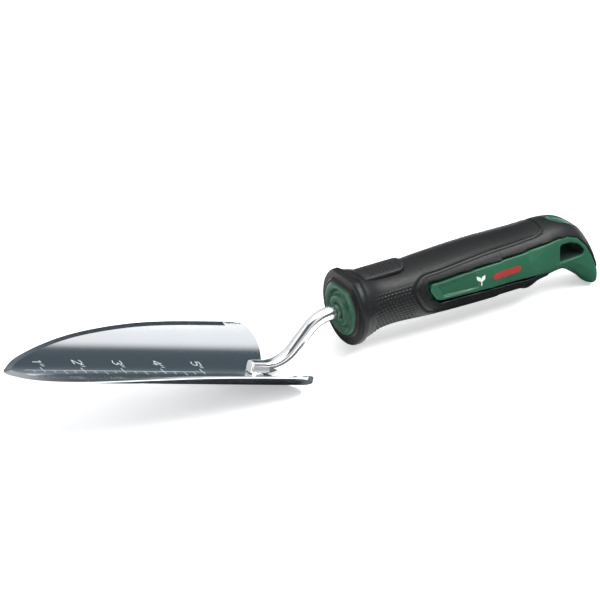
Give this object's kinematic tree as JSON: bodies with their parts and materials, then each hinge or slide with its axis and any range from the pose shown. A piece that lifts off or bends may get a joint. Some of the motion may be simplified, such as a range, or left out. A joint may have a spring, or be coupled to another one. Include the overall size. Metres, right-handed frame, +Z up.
{
  "type": "hand trowel",
  "caption": "Hand trowel: long dished steel blade with depth scale, bent steel shank, soft two-material grip with thumb rest, hanging eye and hooked butt.",
  "frame": {"origin": "centre of the bounding box's base, on the surface the trowel lies on, resting on the blade's heel and the hook's tip", "axes": "+X along the level grip from the blade's tip to the hook, +Z up from the surface, +Y across the blade"},
  "size_m": [0.3786, 0.0804, 0.0512],
  "materials": {
    "polished_steel": "polished stainless sheet",
    "shank_steel": "polished bar",
    "green_plastic": "satin moulding",
    "black_rubber": "fine-textured soft grip",
    "thumb_rubber": "ribbed soft pad"
  },
  "bodies": {
    "root": {"blade": "polished_steel", "shank": "shank_steel", "foot_weld": "shank_steel", "handle_core": "green_plastic", "soft_grip": "black_rubber", "thumb_rest": "thumb_rubber"}
  },
  "joints": []
}
